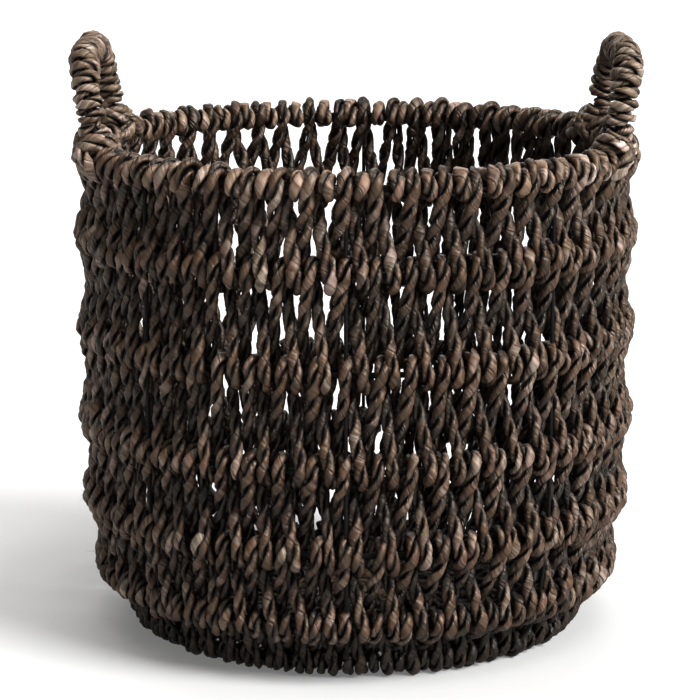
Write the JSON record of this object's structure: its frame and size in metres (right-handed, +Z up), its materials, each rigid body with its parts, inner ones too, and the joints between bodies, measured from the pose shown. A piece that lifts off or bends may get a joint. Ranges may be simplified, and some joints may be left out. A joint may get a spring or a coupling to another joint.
{
  "type": "round woven storage basket",
  "caption": "Round open-weave storage basket of dark twisted cord on an iron wire frame, with two stiff cord-wrapped loop handles.",
  "frame": {"origin": "centre of the underside, on the floor that the basket stands on", "axes": "+Z up along the basket's own axis, handles on +X and -X, front at -Y"},
  "size_m": [0.448, 0.448, 0.4667],
  "materials": {
    "iron_wire": "thin dull black coating on drawn iron wire",
    "woven_cord": "dark brown dyed two-ply twisted plant-fibre cord, satin, uneven",
    "rim_cord": "dark brown dyed two-ply twisted plant-fibre cord, satin, worn a little lighter on top",
    "handle_cord": "brown dyed two-ply plant-fibre cord wrapped tightly, satin, the lightest part of the basket"
  },
  "bodies": {
    "root": {"rim_wire_ring": "iron_wire", "wall_wire_ring_1": "iron_wire", "wall_wire_ring_2": "iron_wire", "wall_wire_ring_3": "iron_wire", "wall_wire_ring_4": "iron_wire", "wall_wire_ring_5": "iron_wire", "base_wire_ring": "iron_wire", "base_inner_wire_ring": "iron_wire", "base_centre_wire_ring": "iron_wire", "upright_wire_1": "iron_wire", "upright_wire_2": "iron_wire", "upright_wire_3": "iron_wire", "upright_wire_4": "iron_wire", "upright_wire_5": "iron_wire", "upright_wire_6": "iron_wire", "upright_wire_7": "iron_wire", "upright_wire_8": "iron_wire", "base_spoke_1": "iron_wire", "base_spoke_2": "iron_wire", "base_spoke_3": "iron_wire", "base_spoke_4": "iron_wire", "base_spoke_5": "iron_wire", "base_spoke_6": "iron_wire", "base_spoke_7": "iron_wire", "base_spoke_8": "iron_wire", "handle_core_left": "iron_wire", "handle_core_right": "iron_wire", "wall_weave_1": "woven_cord", "wall_weave_2": "woven_cord", "wall_weave_3": "woven_cord", "wall_weave_4": "woven_cord", "wall_weave_5": "woven_cord", "wall_weave_6": "woven_cord", "base_weave_outer": "woven_cord", "base_weave_inner": "woven_cord", "base_weave_centre": "woven_cord", "rim_wrap_right": "rim_cord", "rim_wrap_back": "rim_cord", "rim_wrap_left": "rim_cord", "rim_wrap_front": "rim_cord", "handle_wrap_right": "handle_cord", "handle_wrap_left": "handle_cord", "handle_lashing_right_front": "handle_cord", "handle_lashing_right_back": "handle_cord", "handle_lashing_left_front": "handle_cord", "handle_lashing_left_back": "handle_cord"}
  },
  "joints": []
}
